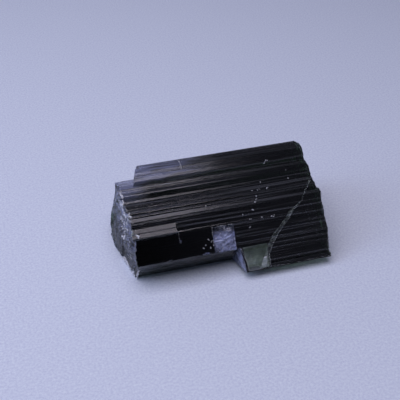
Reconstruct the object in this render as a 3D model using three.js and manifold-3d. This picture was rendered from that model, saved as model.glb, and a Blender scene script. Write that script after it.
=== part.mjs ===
// A loose crystal of dark green tourmaline, lying on one of its prism faces.
//
// It grew as one piece: a striated prism along X, with a lath along its back shoulder and a thin
// rib on its front shoulder. A sliver has broken out of the lower front on the left, which leaves
// the right half overhanging as a thin wedge, and a fracture crosses each end.
//
// Millimetres. +X runs along the prism, +Y to its back and +Z up. The origin is under the middle of
// the crystal, on the surface that it lies on.

import * as THREE from "three";
import { mergeVertices } from "three/addons/utils/BufferGeometryUtils.js";
import Module from "manifold-3d";

// Driving dimensions.
const LENGTH = 28;
const WIDTH = 18;
const HEIGHT = 11.6;
const BODY_TOP = 10.5; // top of the prism in front of the back lath
const SHOULDER_EDGE = 7.25; // height of the long edge over the front face
const WEDGE_EDGE = 1.3; // height of the sharp lower edge of the right half
const SLIVER_END = 1.5; // X of the wall where the broken front steps back
const SLIVER_TOP = 4.1; // height of the break on the front face
const SPALL_START = -2.2; // X where a thin flake is gone from the front face
const SPALL_END = 0.8; // X where that flake stops, close to the wall
const LATH_END = -9.9; // X of the broken end of the back lath
const RIB_END = -6.9; // X of the broken end of the front rib
const FLUTE_PITCH = 0.75; // typical width of one striation
const FLUTE_DEPTH = 0.07; // how far a striation is set in
const FRACTURE_STEP = 1.1; // grid spacing of the rough end faces

const HALF_LENGTH = LENGTH / 2;
const HALF_WIDTH = WIDTH / 2;
const REACH = 6; // how far a cutter runs past the crystal

const wasm = await Module();
wasm.setup();

// A repeatable stream of numbers between 0 and 1.
function randomStream(seed) {
  let state = seed;
  return () => {
    state = (state * 16807) % 2147483647;
    return state / 2147483647;
  };
}

// A closed three.js geometry as a solid that can be joined and cut.
function solidOf(geometry) {
  geometry.deleteAttribute("normal");
  geometry.deleteAttribute("uv");
  const merged = mergeVertices(geometry, 1e-4);
  return new wasm.Manifold(
    new wasm.Mesh({
      numProp: 3,
      vertProperties: merged.attributes.position.array,
      triVerts: new Uint32Array(merged.index.array),
    }),
  );
}

// A solid back as a three.js geometry.
function geometryOf(solid) {
  const mesh = solid.getMesh();
  const geometry = new THREE.BufferGeometry();
  geometry.setAttribute("position", new THREE.BufferAttribute(mesh.vertProperties, 3));
  geometry.setIndex(new THREE.BufferAttribute(mesh.triVerts, 1));
  geometry.computeVertexNormals();
  return geometry;
}

// An outline of [y, z] corners, drawn out along X from one place to another.
function prism(corners, fromX, toX) {
  const shape = new THREE.Shape(corners.map(([y, z]) => new THREE.Vector2(y, z)));
  const geometry = new THREE.ExtrudeGeometry(shape, { depth: toX - fromX, bevelEnabled: false });
  const outlineToYZ = new THREE.Matrix4().makeBasis(
    new THREE.Vector3(0, 1, 0),
    new THREE.Vector3(0, 0, 1),
    new THREE.Vector3(1, 0, 0),
  );
  geometry.applyMatrix4(outlineToYZ);
  geometry.translate(fromX, 0, 0);
  return solidOf(geometry);
}

// The outline with shallow flutes along every side but its first, which is the flat base.
function striated(corners, seed) {
  const random = randomStream(seed);
  const outline = [];
  corners.forEach((corner, index) => {
    outline.push(corner);
    const next = corners[(index + 1) % corners.length];
    const dy = next[0] - corner[0];
    const dz = next[1] - corner[1];
    const side = Math.hypot(dy, dz);
    const flutes = index === 0 ? 0 : Math.round(side / FLUTE_PITCH);
    for (let flute = 1; flute < flutes; flute++) {
      const along = (flute + 0.5 * (random() - 0.5)) / flutes;
      const depth = FLUTE_DEPTH * random();
      outline.push([
        corner[0] + dy * along - (dz / side) * depth,
        corner[1] + dz * along + (dy / side) * depth,
      ]);
    }
  });
  return outline;
}

// The prism's cross-section, counter-clockwise from the front of its base. Its long sides are the
// faces of a hexagonal prism, at 30 degrees and 90 degrees to the surface that it lies on.
const SECTION = [
  [-4.4, 0],
  [7.5, 0],
  [HALF_WIDTH, 2.6],
  [HALF_WIDTH, 4.5],
  [6.15, 10.9],
  [5.25, 11.3],
  [4.2, HEIGHT],
  [3.65, HEIGHT],
  [2.1, 11.1],
  [1.8, BODY_TOP],
  [1.1, BODY_TOP - 0.2],
  [0.3, BODY_TOP - 0.3],
  [0, 9.7],
  [-0.4, 9.4],
  [-2.25, 9.15],
  [-2.75, 8.95],
  [-3.35, 8.6],
  [-3.9, 8.55],
  [-4.1, 8.25],
  [-5.15, SHOULDER_EDGE],
  [-6.97, SLIVER_TOP],
  [-HALF_WIDTH, WEDGE_EDGE],
];

// What is gone from the lower front, left of the wedge.
const SLIVER = [
  [-4.4, -1],
  [-4.4, 0],
  [-5.5, 1.6],
  [-6.97, SLIVER_TOP],
  [-HALF_WIDTH - 2, SLIVER_TOP + 1],
  [-HALF_WIDTH - 2, -1],
];

// What is gone from the back shoulder, left of the lath.
const SHOULDER = [
  [1.8, BODY_TOP],
  [3.9, 10.3],
  [5.6, 9.0],
  [HALF_WIDTH + 2, 5.0],
  [HALF_WIDTH + 2, HEIGHT + 1],
  [1.8, HEIGHT + 1],
];

// What is gone from the front face, between the rib and the wedge.
const SPALL = [
  [-6.6, SLIVER_TOP],
  [-4.95, 6.95],
  [-4.9, 7.5],
  [-HALF_WIDTH, 7.5],
  [-HALF_WIDTH, SLIVER_TOP],
];

// The rib on the front shoulder.
const RIB = [
  [-4.8, 6.9],
  [-4.0, 8.1],
  [-4.35, 8.2],
  [-5.4, 7.6],
  [-5.4, 7.3],
];

// A smooth hump over the point [y, z].
function hump(y, z, centreY, centreZ, spread) {
  return Math.exp(-(Math.pow(y - centreY, 2) + Math.pow(z - centreZ, 2)) / (spread * spread));
}

// How far the left fracture lies in from the end of the crystal: it bulges low at the back, leans
// in towards the top and turns away towards the front.
function leftRelief(y, z) {
  const rise = THREE.MathUtils.smoothstep(z, 0, 7.5);
  const lean = 1.2 * rise;
  const turn = 0.195 * Math.max(0, 2.4 - y) * (1 - 0.055 * z);
  const back = 0.2 * Math.max(0, y - 6);
  const brow = 0.4 * hump(y, z, 0.5, 10.5, 1.8);
  const ripples = 0.09 * Math.sin(1.9 * y + 0.8 * z) * Math.cos(1.3 * z - 0.5 * y);
  return Math.pow(Math.pow(lean, 6) + Math.pow(turn, 6), 1 / 6) + back - brow + ripples * rise;
}

// The right fracture is nearly flat, with a shallow shell-shaped bowl in its middle, and leans in
// a little at the top.
function rightRelief(y, z) {
  const lean = 0.3 * THREE.MathUtils.smoothstep(z, 7.5, 10.5);
  const bowl = 0.6 * hump(y, z, 2.5, 4.8, 3);
  const ripples = 0.06 * (1 + Math.sin(1.4 * y - 1.1 * z) * Math.cos(0.9 * z + 0.6 * y));
  return lean + bowl + ripples;
}

// A block past one end of the crystal, whose inner face is a fracture.
function fractureBlock(side, relief) {
  const depth = REACH;
  const width = WIDTH + REACH;
  const height = HEIGHT + REACH;
  const across = Math.round(width / FRACTURE_STEP);
  const up = Math.round(height / FRACTURE_STEP);
  const geometry = new THREE.BoxGeometry(depth, width, height, 1, across, up);
  geometry.translate(side * (HALF_LENGTH + depth / 2), 0, HEIGHT / 2);
  const position = geometry.attributes.position;
  for (let index = 0; index < position.count; index++) {
    const onFracture = side * position.getX(index) < HALF_LENGTH + depth / 2;
    if (onFracture) {
      const inset = relief(position.getY(index), position.getZ(index));
      position.setX(index, side * (HALF_LENGTH - inset));
    }
  }
  return solidOf(geometry);
}

// A rounded bite with flat facets, for a chip off an edge.
function chip(radius, stretch, place) {
  const geometry = new THREE.IcosahedronGeometry(radius, 1);
  geometry.scale(...stretch);
  geometry.translate(...place);
  return solidOf(geometry);
}

function makeCrystal() {
  const past = HALF_LENGTH + REACH;
  let crystal = prism(striated(SECTION, 11), -HALF_LENGTH, HALF_LENGTH);
  crystal = crystal.subtract(prism(SHOULDER, -past, LATH_END));
  crystal = crystal.add(prism(RIB, -HALF_LENGTH, RIB_END));
  crystal = crystal.subtract(prism(SLIVER, -past, SLIVER_END));
  crystal = crystal.subtract(prism(SPALL, SPALL_START, SPALL_END));
  crystal = crystal.subtract(fractureBlock(-1, leftRelief));
  crystal = crystal.subtract(fractureBlock(1, rightRelief));
  const chips = [
    chip(0.9, [0.7, 1.0, 1.4], [-12.3, -5.8, 0.9]),
    chip(0.5, [1.2, 0.6, 1.0], [RIB_END + 0.2, -5.9, 7.2]),
    chip(0.8, [1.0, 0.8, 0.5], [LATH_END, 4.9, 11.3]),
    chip(0.6, [1.3, 0.5, 0.8], [SLIVER_END - 0.2, -7.4, 4.2]),
  ];
  for (const bite of chips) {
    crystal = crystal.subtract(bite);
  }
  return geometryOf(crystal);
}

// Puts the middle of the crystal over the origin and its base on the surface.
function rested(geometry) {
  geometry.computeBoundingBox();
  const { min, max } = geometry.boundingBox;
  geometry.translate(-(min.x + max.x) / 2, -(min.y + max.y) / 2, -min.z);
  return geometry;
}

const darkGreenTourmaline = new THREE.MeshStandardMaterial({
  color: 0x10140f,
  roughness: 0.18,
  metalness: 0.0,
  flatShading: true,
});

const crystal = new THREE.Mesh(rested(makeCrystal()), darkGreenTourmaline);
crystal.name = "tourmaline_crystal";

const part = new THREE.Group();
part.add(crystal);

export default part;
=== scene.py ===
"""A broken piece of dark green tourmaline, lying on the flat long face of its prism.

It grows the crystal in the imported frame, seals its flaws in it, and sets a plain stage.
"""

import math
import random

import bmesh
import bpy
import numpy as np
from bpy.props import FloatProperty, FloatVectorProperty, IntProperty, PointerProperty
from mathutils import Matrix, Vector, noise
from mathutils.bvhtree import BVHTree


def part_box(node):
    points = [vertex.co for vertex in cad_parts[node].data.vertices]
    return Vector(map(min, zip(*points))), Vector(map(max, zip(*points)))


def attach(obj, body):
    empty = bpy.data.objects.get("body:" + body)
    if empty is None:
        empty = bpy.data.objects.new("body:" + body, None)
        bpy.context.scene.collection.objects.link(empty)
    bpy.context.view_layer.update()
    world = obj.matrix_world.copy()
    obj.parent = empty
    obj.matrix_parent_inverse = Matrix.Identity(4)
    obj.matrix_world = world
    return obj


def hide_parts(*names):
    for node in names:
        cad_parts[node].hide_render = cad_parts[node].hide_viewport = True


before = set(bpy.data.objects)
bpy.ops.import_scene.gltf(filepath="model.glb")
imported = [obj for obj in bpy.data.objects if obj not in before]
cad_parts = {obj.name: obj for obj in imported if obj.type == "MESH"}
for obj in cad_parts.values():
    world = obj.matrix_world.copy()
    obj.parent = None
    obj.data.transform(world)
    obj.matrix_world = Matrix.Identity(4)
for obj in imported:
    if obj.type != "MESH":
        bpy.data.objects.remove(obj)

bl_info = {
    "name": "Tourmaline Crystal",
    "version": (1, 0, 0),
    "blender": (4, 5, 0),
    "location": "View3D > Sidebar > Tourmaline",
    "description": "Grows a broken tourmaline crystal with its flaws and sets a plain stage",
    "category": "Add Mesh",
}

NODE = "tourmaline_crystal"
BODY = "root"

LOW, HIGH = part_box(NODE)
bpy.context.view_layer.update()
DESIGN_LENGTH = 28.0  # the length that every design millimetre below is measured against
UNIT = (HIGH.x - LOW.x) / DESIGN_LENGTH  # metres to a design millimetre
MIDDLE = Vector(((LOW.x + HIGH.x) / 2, (LOW.y + HIGH.y) / 2, LOW.z))
END = DESIGN_LENGTH / 2  # from the middle to either end

# Finish of a mesh face, kept in its material index while the crystal is cut.
GROWN, BROKEN, CRUSHED = 0, 1, 2

# The section of the prism, from the toe of its base up the front, over the top and down the back.
# Each face: elevation of its normal in degrees, width, and pitch of its growth steps (0 is plain).
SECTION_START = (-4.4, 0.0)
SECTION_FACES = (
    (-74.2, 4.78, 0.0),
    (36.0, 3.46, 0.50),
    (30.0, 3.64, 0.0),
    (60.0, 0.12, 0.0),
    (45.0, 1.34, 0.0),
    (30.0, 0.37, 0.0),
    (86.0, 0.57, 0.28),
    (61.0, 0.46, 0.0),
    (86.0, 0.13, 0.0),
    (30.0, 0.11, 0.0),
    (84.0, 0.42, 0.42),
    (30.0, 0.19, 0.0),
    (86.0, 1.29, 0.43),
    (78.0, 0.55, 0.0),
    (35.0, 0.19, 0.0),
    (60.0, 0.24, 0.0),
    (84.0, 0.12, 0.0),
    (28.0, 0.66, 0.0),
    (84.0, 0.80, 0.40),
    (76.0, 0.72, 0.24),
    (30.0, 0.68, 0.0),
    (74.0, 1.60, 0.32),
    (88.0, 0.50, 0.0),
    (105.0, 1.10, 0.37),
    (112.0, 1.00, 0.33),
    (155.9, 6.98, 0.55),
    (180.0, 1.90, 0.0),
    (210.0, 3.00, 0.0),
)
HABIT = 30.0  # the prism's faces stand at multiples of this many degrees
TILT = 3.0  # the most that a growth face leans off its habit, in degrees
PLAIN_PART = 0.7  # width of the parts that a plain face is made of


def place(x, y, z):
    """A point given in design millimetres from the middle of the crystal's base, in the frame."""
    return MIDDLE + Vector((x, y, z)) * UNIT


def smooth(value, start, stop):
    """0 before start, 1 after stop, and an even slope between."""
    t = np.clip((value - start) / (stop - start), 0.0, 1.0)
    return t * t * (3.0 - 2.0 * t)


def hump(u, v, cu, cv, spread):
    """A round hump of height 1 about (cu, cv)."""
    return np.exp(-((u - cu) ** 2 + (v - cv) ** 2) / spread**2)


# ---------------------------------------------------------------- meshes


def linked(name, data):
    """A new object in the scene that holds the data."""
    made = bpy.data.objects.new(name, data)
    bpy.context.scene.collection.objects.link(made)
    return made


def finish_faces(mesh, finish, materials):
    """Gives the mesh its placeholder materials and every face the same finish."""
    for material in materials:
        mesh.materials.append(material)
    mesh.polygons.foreach_set("material_index", [finish] * len(mesh.polygons))


def object_of(name, points, faces, finish=GROWN, materials=()):
    """A mesh object from design points and faces that share one finish."""
    mesh = bpy.data.meshes.new(name)
    mesh.from_pydata([place(*p) for p in points], [], faces)
    finish_faces(mesh, finish, materials)
    mesh.validate()
    return linked(name, mesh)


def settled(piece):
    """The piece with its modifiers made part of a plain mesh."""
    bpy.context.view_layer.update()
    graph = bpy.context.evaluated_depsgraph_get()
    mesh = bpy.data.meshes.new_from_object(piece.evaluated_get(graph))
    mesh.name = piece.name
    old = piece.data
    piece.modifiers.clear()
    piece.data = mesh
    if old.users == 0:
        bpy.data.meshes.remove(old)
    return piece


def combine(piece, tool, operation):
    """Cuts the tool from the piece, or joins it to the piece, and removes the tool."""
    change = piece.modifiers.new("combine", "BOOLEAN")
    change.operation = operation
    change.object = tool
    change.solver = "MANIFOLD"
    change.material_mode = "TRANSFER"
    settled(piece)
    mesh = tool.data
    bpy.data.objects.remove(tool)
    bpy.data.meshes.remove(mesh)
    if not piece.data.polygons:
        raise RuntimeError(f"nothing is left of {piece.name} after a {operation}")


def end_at(end, y, z):
    """The x of a bar's end at (y, z): the end itself, or what its rule says."""
    return end(y, z) if callable(end) else end


def prism(name, outline, start, stop, finish, materials, cap_finish=BROKEN):
    """A closed bar along X with the outline (y, z); start and stop are each an x or a rule."""
    area = sum(a[0] * b[1] - b[0] * a[1] for a, b in zip(outline, outline[1:] + outline[:1]))
    ring = list(outline) if area > 0 else list(reversed(outline))
    count = len(ring)
    points = [(end_at(start, y, z), y, z) for y, z in ring]
    points += [(end_at(stop, y, z), y, z) for y, z in ring]
    faces = [list(reversed(range(count))), list(range(count, 2 * count))]
    for i in range(count):
        j = (i + 1) % count
        faces.append([i, j, count + j, count + i])
    made = object_of(name, points, faces, finish, materials)
    for cap in made.data.polygons[:2]:
        cap.material_index = cap_finish
    return made


def relief_block(name, axes, origin, spans, step, relief, outer, finish, materials):
    """A closed block with one uneven face.

    axes are u, v and the outward n; the uneven face stands at relief(u, v) along n, and the block
    goes on from there to outer.
    """
    (u0, u1), (v0, v1) = spans
    columns = max(2, round((u1 - u0) / step) + 1)
    rows = max(2, round((v1 - v0) / step) + 1)
    u, v = np.meshgrid(np.linspace(u0, u1, columns), np.linspace(v0, v1, rows), indexing="ij")
    height = relief(u, v)
    au, av, an = (np.array(a, float) for a in axes)
    flat_u, flat_v = u.reshape(-1, 1), v.reshape(-1, 1)
    foot = np.array(origin, float) + flat_u * au + flat_v * av
    inner = foot + height.reshape(-1, 1) * an
    far = foot + outer * an
    points = np.vstack((inner, far)).tolist()
    total = columns * rows
    faces = []
    for i in range(columns - 1):
        for j in range(rows - 1):
            a, b = i * rows + j, (i + 1) * rows + j
            faces.append([a, a + 1, b + 1, b])
            faces.append([total + a, total + b, total + b + 1, total + a + 1])
    rim = [i * rows for i in range(columns)]
    rim += [(columns - 1) * rows + j for j in range(1, rows)]
    rim += [i * rows + rows - 1 for i in range(columns - 2, -1, -1)]
    rim += [j for j in range(rows - 2, 0, -1)]
    for a, b in zip(rim, rim[1:] + rim[:1]):
        faces.append([a, b, total + b, total + a])
    if np.dot(np.cross(au, av), an) < 0:
        faces = [list(reversed(f)) for f in faces]
    return object_of(name, points, faces, finish, materials)


def shard(name, centre, size, turn, seed, finish, materials):
    """An uneven lump, for knocking a chip off an edge."""
    draw = random.Random(seed)
    golden = (1 + 5**0.5) / 2
    corners = []
    for a in (-1, 1):
        for b in (-golden, golden):
            corners += [(0, a, b), (a, b, 0), (b, 0, a)]
    build = bmesh.new()
    cos, sin = math.cos(turn), math.sin(turn)
    for x, y, z in corners:
        reach = draw.uniform(0.75, 1.1) / math.hypot(1, golden)
        turned = (x, y * cos - z * sin, y * sin + z * cos)
        build.verts.new(place(*(c + p * reach * r for c, p, r in zip(centre, turned, size))))
    bmesh.ops.convex_hull(build, input=list(build.verts))
    bmesh.ops.recalc_face_normals(build, faces=list(build.faces))
    mesh = bpy.data.meshes.new(name)
    build.to_mesh(mesh)
    build.free()
    finish_faces(mesh, finish, materials)
    return linked(name, mesh)


def shards(seed, spans, spacing, tilt, drop):
    """A relief of flat shards that lean different ways, as a function of u and v."""
    draw = random.Random(seed)
    (u0, u1), (v0, v1) = spans
    count = max(4, round((u1 - u0) * (v1 - v0) / spacing**2))
    # Each shard: its middle, how it leans along u and along v, and its height.
    ranges = ((u0, u1), (v0, v1), (-tilt, tilt), (-tilt, tilt), (-drop, drop))
    cells = np.array([[draw.uniform(*span) for span in ranges] for _ in range(count)])

    def relief(u, v):
        du = u[..., None] - cells[:, 0]
        dv = v[..., None] - cells[:, 1]
        nearest = cells[np.argmin(du * du + dv * dv, axis=-1)]
        cu, cv, lean_u, lean_v, height = np.moveaxis(nearest, -1, 0)
        return height + lean_u * (u - cu) + lean_v * (v - cv)

    return relief


def grain(u, v, scale, seed):
    """Fine unevenness between -1 and 1."""
    values = [
        noise.fractal(Vector((a * scale, b * scale, seed)), 0.8, 2.1, 3)
        for a, b in zip(u.ravel(), v.ravel())
    ]
    return np.array(values).reshape(u.shape)


# ---------------------------------------------------------------- node groups


def node_tree_for(name, sockets):
    """An empty Geometry Nodes tree with these named inputs: name -> socket type."""
    tree = bpy.data.node_groups.new(name, "GeometryNodeTree")
    tree.interface.new_socket("Geometry", in_out="INPUT", socket_type="NodeSocketGeometry")
    for label, kind in sockets.items():
        tree.interface.new_socket(label, in_out="INPUT", socket_type=kind)
    tree.interface.new_socket("Geometry", in_out="OUTPUT", socket_type="NodeSocketGeometry")
    return tree


def add_node(tree, kind, settings=None, **inputs):
    """A node with its properties set, and its inputs given as values or as sockets.

    An input is given by its name, with _ for a space, or by its number after a _.
    """
    node = tree.nodes.new(kind)
    for key, value in (settings or {}).items():
        setattr(node, key, value)
    for key, value in inputs.items():
        name = int(key[1:]) if key[1:].isdigit() else key.replace("_", " ")
        socket = node.inputs[name]
        if isinstance(value, bpy.types.NodeSocket):
            tree.links.new(value, socket)
        else:
            socket.default_value = value
    return node


def grown(piece, tree, values):
    """The piece after the tree, as a plain mesh; values are given by the inputs' names."""
    change = piece.modifiers.new(tree.name, "NODES")
    change.node_group = tree
    sockets = {i.name: i.identifier for i in tree.interface.items_tree if i.in_out == "INPUT"}
    for name, value in values.items():
        change[sockets[name]] = value
    return settled(piece)


def closed_tree(tree, geometry, given):
    """Ends the tree: its instances made real, and its material set."""
    real = add_node(tree, "GeometryNodeRealizeInstances", Geometry=geometry)
    painted = add_node(
        tree,
        "GeometryNodeSetMaterial",
        Geometry=real.outputs["Geometry"],
        Material=given.outputs["Material"],
    )
    out = tree.nodes.new("NodeGroupOutput")
    tree.links.new(painted.outputs["Geometry"], out.inputs["Geometry"])
    return tree


def prism_tree():
    """A flat outline filled and drawn out along the crystal's length."""
    tree = node_tree_for(
        "Striated Prism",
        {
            "Length": "NodeSocketFloat",
            "Left End": "NodeSocketFloat",
            "Material": "NodeSocketMaterial",
        },
    )
    given = tree.nodes.new("NodeGroupInput")
    curve = add_node(tree, "GeometryNodeMeshToCurve", Mesh=given.outputs["Geometry"])
    fill = add_node(
        tree, "GeometryNodeFillCurve", {"mode": "NGONS"}, Curve=curve.outputs["Curve"]
    )
    draw = add_node(
        tree,
        "GeometryNodeExtrudeMesh",
        Mesh=fill.outputs["Mesh"],
        Offset=(0.0, 0.0, 1.0),
        Offset_Scale=given.outputs["Length"],
        Individual=False,
    )
    back = add_node(tree, "GeometryNodeFlipFaces", Mesh=fill.outputs["Mesh"])
    both = tree.nodes.new("GeometryNodeJoinGeometry")
    tree.links.new(draw.outputs["Mesh"], both.inputs["Geometry"])
    tree.links.new(back.outputs["Mesh"], both.inputs["Geometry"])
    closed = add_node(
        tree, "GeometryNodeMergeByDistance", Geometry=both.outputs["Geometry"], Distance=1e-7
    )
    shift = add_node(tree, "ShaderNodeCombineXYZ", X=given.outputs["Left End"])
    laid = add_node(
        tree,
        "GeometryNodeTransform",
        Geometry=closed.outputs["Geometry"],
        Translation=shift.outputs["Vector"],
        Rotation=(math.pi / 2, 0.0, math.pi / 2),
    )
    flat = add_node(
        tree,
        "GeometryNodeSetShadeSmooth",
        Geometry=laid.outputs["Geometry"],
        Shade_Smooth=False,
    )
    return closed_tree(tree, flat.outputs["Geometry"], given)


def random_vector(tree, seed, low, high):
    """A random vector at each point, each part of it between low and high."""
    made = add_node(
        tree, "FunctionNodeRandomValue", {"data_type": "FLOAT_VECTOR"}, _0=low, _1=high, Seed=seed
    )
    return made.outputs[0]


def grains_on(tree, points, given):
    """A small grain on each point, turned and sized at random, Spread of Size either way."""
    grain_shape = add_node(tree, "GeometryNodeMeshIcoSphere", Radius=1.0, Subdivisions=1)
    seed, spread = given.outputs["Seed"], given.outputs["Spread"]
    bounds = []
    for operation in ("SUBTRACT", "ADD"):
        share = maths(tree, operation, 1.0, spread)
        bounds.append(add_node(tree, "ShaderNodeCombineXYZ", X=share, Y=share, Z=share).outputs[0])
    sized = add_node(
        tree,
        "ShaderNodeVectorMath",
        {"operation": "SCALE"},
        _0=random_vector(tree, seed, *bounds),
        Scale=given.outputs["Size"],
    )
    put = add_node(
        tree,
        "GeometryNodeInstanceOnPoints",
        Points=points,
        Instance=grain_shape.outputs["Mesh"],
        Rotation=random_vector(tree, seed, (-math.pi,) * 3, (math.pi,) * 3),
        Scale=sized.outputs[0],
    )
    return closed_tree(tree, put.outputs["Instances"], given)


def flake_tree():
    """A flake at each point."""
    tree = node_tree_for(
        "Scattered Flakes",
        {
            "Size": "NodeSocketFloat",
            "Spread": "NodeSocketFloat",
            "Seed": "NodeSocketInt",
            "Material": "NodeSocketMaterial",
        },
    )
    given = tree.nodes.new("NodeGroupInput")
    points = add_node(tree, "GeometryNodeMeshToPoints", Mesh=given.outputs["Geometry"])
    return grains_on(tree, points.outputs["Points"], given)


def trail_tree():
    """Crumbs spaced along lines, with gaps where some are missing."""
    tree = node_tree_for(
        "Crumb Trail",
        {
            "Size": "NodeSocketFloat",
            "Spread": "NodeSocketFloat",
            "Spacing": "NodeSocketFloat",
            "Gaps": "NodeSocketFloat",
            "Seed": "NodeSocketInt",
            "Material": "NodeSocketMaterial",
        },
    )
    given = tree.nodes.new("NodeGroupInput")
    line = add_node(tree, "GeometryNodeMeshToCurve", Mesh=given.outputs["Geometry"])
    points = add_node(
        tree,
        "GeometryNodeCurveToPoints",
        {"mode": "LENGTH"},
        Curve=line.outputs["Curve"],
        Length=given.outputs["Spacing"],
    )
    drop = add_node(
        tree,
        "FunctionNodeRandomValue",
        {"data_type": "BOOLEAN"},
        Probability=given.outputs["Gaps"],
        Seed=given.outputs["Seed"],
    )
    kept = add_node(
        tree,
        "GeometryNodeDeleteGeometry",
        {"domain": "POINT"},
        Geometry=points.outputs["Points"],
        Selection=drop.outputs[3],
    )
    return grains_on(tree, kept.outputs["Geometry"], given)


# ---------------------------------------------------------------- materials

CLEAR = (0.92, 0.96, 0.92)  # tint of the crystal's surface, over its body colour
# Dark end of a crack's painted reflection.
CRACK_PAINTED_DARK = (0.01, 0.01, 0.01)  # where no light comes back from a crack
# The full pale colour also carries the painted sheen and the painted reflection of the paper.
PALE_FROM = 0.12  # share of dulling from which the surface has the full colour of crushed crystal
RELIEF = 0.00005  # height of the bump that full noise gives, in metres
BREAK_RELIEF = 2.0  # how much deeper the bump is on a break
STRIA_RELIEF = 0.4  # how deep it is along the grown faces


def material_of(name):
    """A node material, its tree and its Principled shader."""
    material = bpy.data.materials.new(name)
    material.use_nodes = True
    tree = material.node_tree
    return material, tree, tree.nodes["Principled BSDF"]


def attribute(tree, name):
    """A value that the mesh carries."""
    return add_node(tree, "ShaderNodeAttribute", {"attribute_name": name}).outputs["Fac"]


def millimetres(tree):
    """Object coordinates in millimetres, so that a noise's scale is in turns to a millimetre."""
    where = tree.nodes.new("ShaderNodeTexCoord")
    scaled = add_node(
        tree,
        "ShaderNodeVectorMath",
        {"operation": "SCALE"},
        _0=where.outputs["Object"],
        Scale=1 / UNIT,
    )
    return scaled.outputs[0]


def stretched(tree, vector, scale):
    """The vector multiplied axis by axis."""
    made = add_node(
        tree, "ShaderNodeVectorMath", {"operation": "MULTIPLY"}, _0=vector, _1=scale
    )
    return made.outputs[0]


def noise_at(tree, vector, scale, detail=3.0, roughness=0.6):
    """A noise value from the vector."""
    made = add_node(
        tree,
        "ShaderNodeTexNoise",
        Vector=vector,
        Scale=scale,
        Detail=detail,
        Roughness=roughness,
    )
    return made.outputs["Fac"]


def ranged(tree, value, start, stop, low, high):
    """The value mapped from start..stop to low..high, held at both ends."""
    made = add_node(
        tree,
        "ShaderNodeMapRange",
        {"clamp": True},
        Value=value,
        From_Min=start,
        From_Max=stop,
        To_Min=low,
        To_Max=high,
    )
    return made.outputs["Result"]


def maths(tree, operation, a, b):
    """A Math node of two values or sockets."""
    return add_node(tree, "ShaderNodeMath", {"operation": operation}, _0=a, _1=b).outputs[0]


def mixed(tree, share, a, b):
    """Colour a where share is 0 and b where it is 1."""
    made = add_node(
        tree, "ShaderNodeMix", {"data_type": "RGBA"}, Factor=share, _6=(*a, 1.0), _7=(*b, 1.0)
    )
    return made.outputs[2]


def striae(tree, where, across, scale, detail, roughness):
    """A noise value drawn out along the crystal; across is its share of change along X."""
    return noise_at(tree, stretched(tree, where, (across, 1.0, 1.0)), scale, detail, roughness)


def painted_sheen_on_faces(tree, where, across, away):
    """How much painted sheen the grown faces get: on the ledge, on the brow, and in fine lines."""
    streaks = ranged(tree, striae(tree, where, 0.10, 3.2, 4.0, 0.65), 0.38, 0.64, 0.12, 1.0)
    # Painted sheen, pale on the ledge and the brow, strongest at the left and gone towards the
    # right.
    ledge = maths(
        tree,
        "MULTIPLY",
        ranged(tree, across, -11.5, 1.5, 0.46, 0.0),
        ranged(tree, away, 1.75, 2.3, 0.0, 1.0),
    )
    brow = maths(
        tree,
        "MULTIPLY",
        ranged(tree, across, -13.2, -9.0, 0.42, 0.0),
        ranged(tree, away, -1.0, 1.2, 0.0, 1.0),
    )
    painted_sheen = maths(tree, "MULTIPLY", maths(tree, "MAXIMUM", ledge, brow), streaks)

    # The fresh face at the lower left is the only one that carries no fine lines.
    lined = maths(
        tree,
        "MAXIMUM",
        ranged(tree, across, 0.6, 1.0, 0.0, 1.0),
        ranged(tree, away, -5.3, -4.9, 0.0, 1.0),
    )
    # Painted sheen in fine pale lines along the crystal, a little stronger at the left.
    sheen_lines = ranged(tree, striae(tree, where, 0.008, 5.0, 3.0, 0.6), 0.53, 0.61, 0.0, 1.0)
    sheen_lines = maths(tree, "MULTIPLY", sheen_lines, lined)
    strength = ranged(tree, across, -10.0, 3.0, 0.075, 0.05)
    return maths(tree, "MAXIMUM", painted_sheen, maths(tree, "MULTIPLY", sheen_lines, strength))


def bruise_and_shade_on_breaks(tree, where, across, up, broken, crushed):
    """How much the breaks are bruised: powdery, more at the left and dimmed low down by painted
    shade, and crumbled where crushed, paler lower down.
    """
    powder_and_shade = ranged(tree, noise_at(tree, where, 1.5, 5.0, 0.8), 0.47, 0.64, 0.03, 0.52)
    powder_and_shade = maths(tree, "MULTIPLY", powder_and_shade, ranged(tree, across, -9.0, 9.0, 1.0, 0.35))
    # Painted shade: the powder fades low down on the breaks.
    powder_and_shade = maths(tree, "MULTIPLY", powder_and_shade, ranged(tree, up, 2.0, 6.0, 0.22, 1.0))
    crumbled = ranged(tree, noise_at(tree, where, 1.1, 5.0, 0.7), 0.36, 0.62, 0.15, 1.0)
    crumbled = maths(tree, "MULTIPLY", crumbled, ranged(tree, up, 5.7, 6.4, 0.58, 0.18))
    return maths(
        tree,
        "MAXIMUM",
        maths(tree, "MULTIPLY", powder_and_shade, broken),
        maths(tree, "MULTIPLY", crumbled, crushed),
    )


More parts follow.
